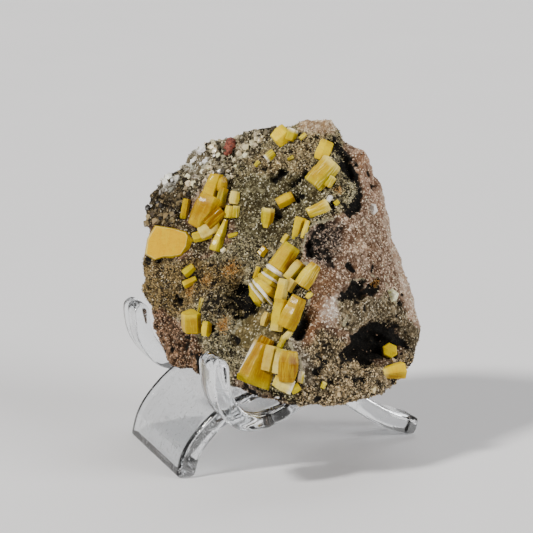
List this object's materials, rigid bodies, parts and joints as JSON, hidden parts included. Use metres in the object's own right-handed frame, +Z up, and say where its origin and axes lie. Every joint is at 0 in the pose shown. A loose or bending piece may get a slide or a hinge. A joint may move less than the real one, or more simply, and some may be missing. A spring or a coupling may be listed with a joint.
{
  "type": "golden hexagonal crystal specimen on matrix with display stand",
  "caption": "Vuggy brown rock with a grey-green druse and stubby golden six-sided crystals, resting in the two hooks of a clear one-piece easel stand.",
  "frame": {"origin": "on the table, at the middle of the whole object's box", "axes": "+Z up; -Y the way the stand's two hooks point; X across the stand, with the druse and crystals on the +X side of the rock"},
  "size_m": [0.0538, 0.05, 0.0581],
  "materials": {
    "matrix": "rough granular rock with a fine sparkling druse",
    "golden_crystal": "glassy to resinous, translucent, faintly striated",
    "pale_crystal": "glassy, pale, translucent, striated along the axis",
    "quartz": "milky, glossy",
    "iron_nodule": "dull, earthy red-brown",
    "clear_acrylic": "clear, polished edges, lightly scratched faces"
  },
  "bodies": {
    "root": {"far_left_plate": "golden_crystal", "left_cluster": "golden_crystal", "left_strip": "golden_crystal", "left_spike": "golden_crystal", "left_pale_prism": "pale_crystal", "left_pale_pair": "pale_crystal", "left_lens": "golden_crystal", "left_bead": "pale_crystal", "top_block": "golden_crystal", "top_sliver": "pale_crystal", "upper_small_box": "pale_crystal", "upper_bead": "pale_crystal", "upper_pale_bead": "pale_crystal", "upper_barrel": "pale_crystal", "upper_block": "golden_crystal", "middle_box": "golden_crystal", "middle_taper": "golden_crystal", "striated_chunk": "pale_crystal", "tiny_yellow_bead": "golden_crystal", "long_blade": "golden_crystal", "short_blade": "pale_crystal", "pale_stub": "pale_crystal", "middle_barrel": "golden_crystal", "central_stack": "golden_crystal", "central_corner": "golden_crystal", "central_twins": "golden_crystal", "ridge_barrel": "pale_crystal", "central_companion": "pale_crystal", "ridge_crumb": "pale_crystal", "lower_cluster": "golden_crystal", "lower_thin_prism": "pale_crystal", "lower_pale_box": "pale_crystal", "lower_white_prism": "pale_crystal", "lower_bead": "pale_crystal", "left_upper_prism": "golden_crystal", "left_lower_prism": "golden_crystal", "left_box": "golden_crystal", "left_round": "golden_crystal", "green_sliver": "pale_crystal", "vug_upper_crystal": "golden_crystal", "vug_lower_crystal": "golden_crystal", "quartz_knob": "quartz", "quartz_chip_upper": "quartz", "quartz_chip_lower": "quartz", "red_nodule": "iron_nodule", "matrix_rock": "matrix", "display_stand": "clear_acrylic"}
  },
  "joints": []
}
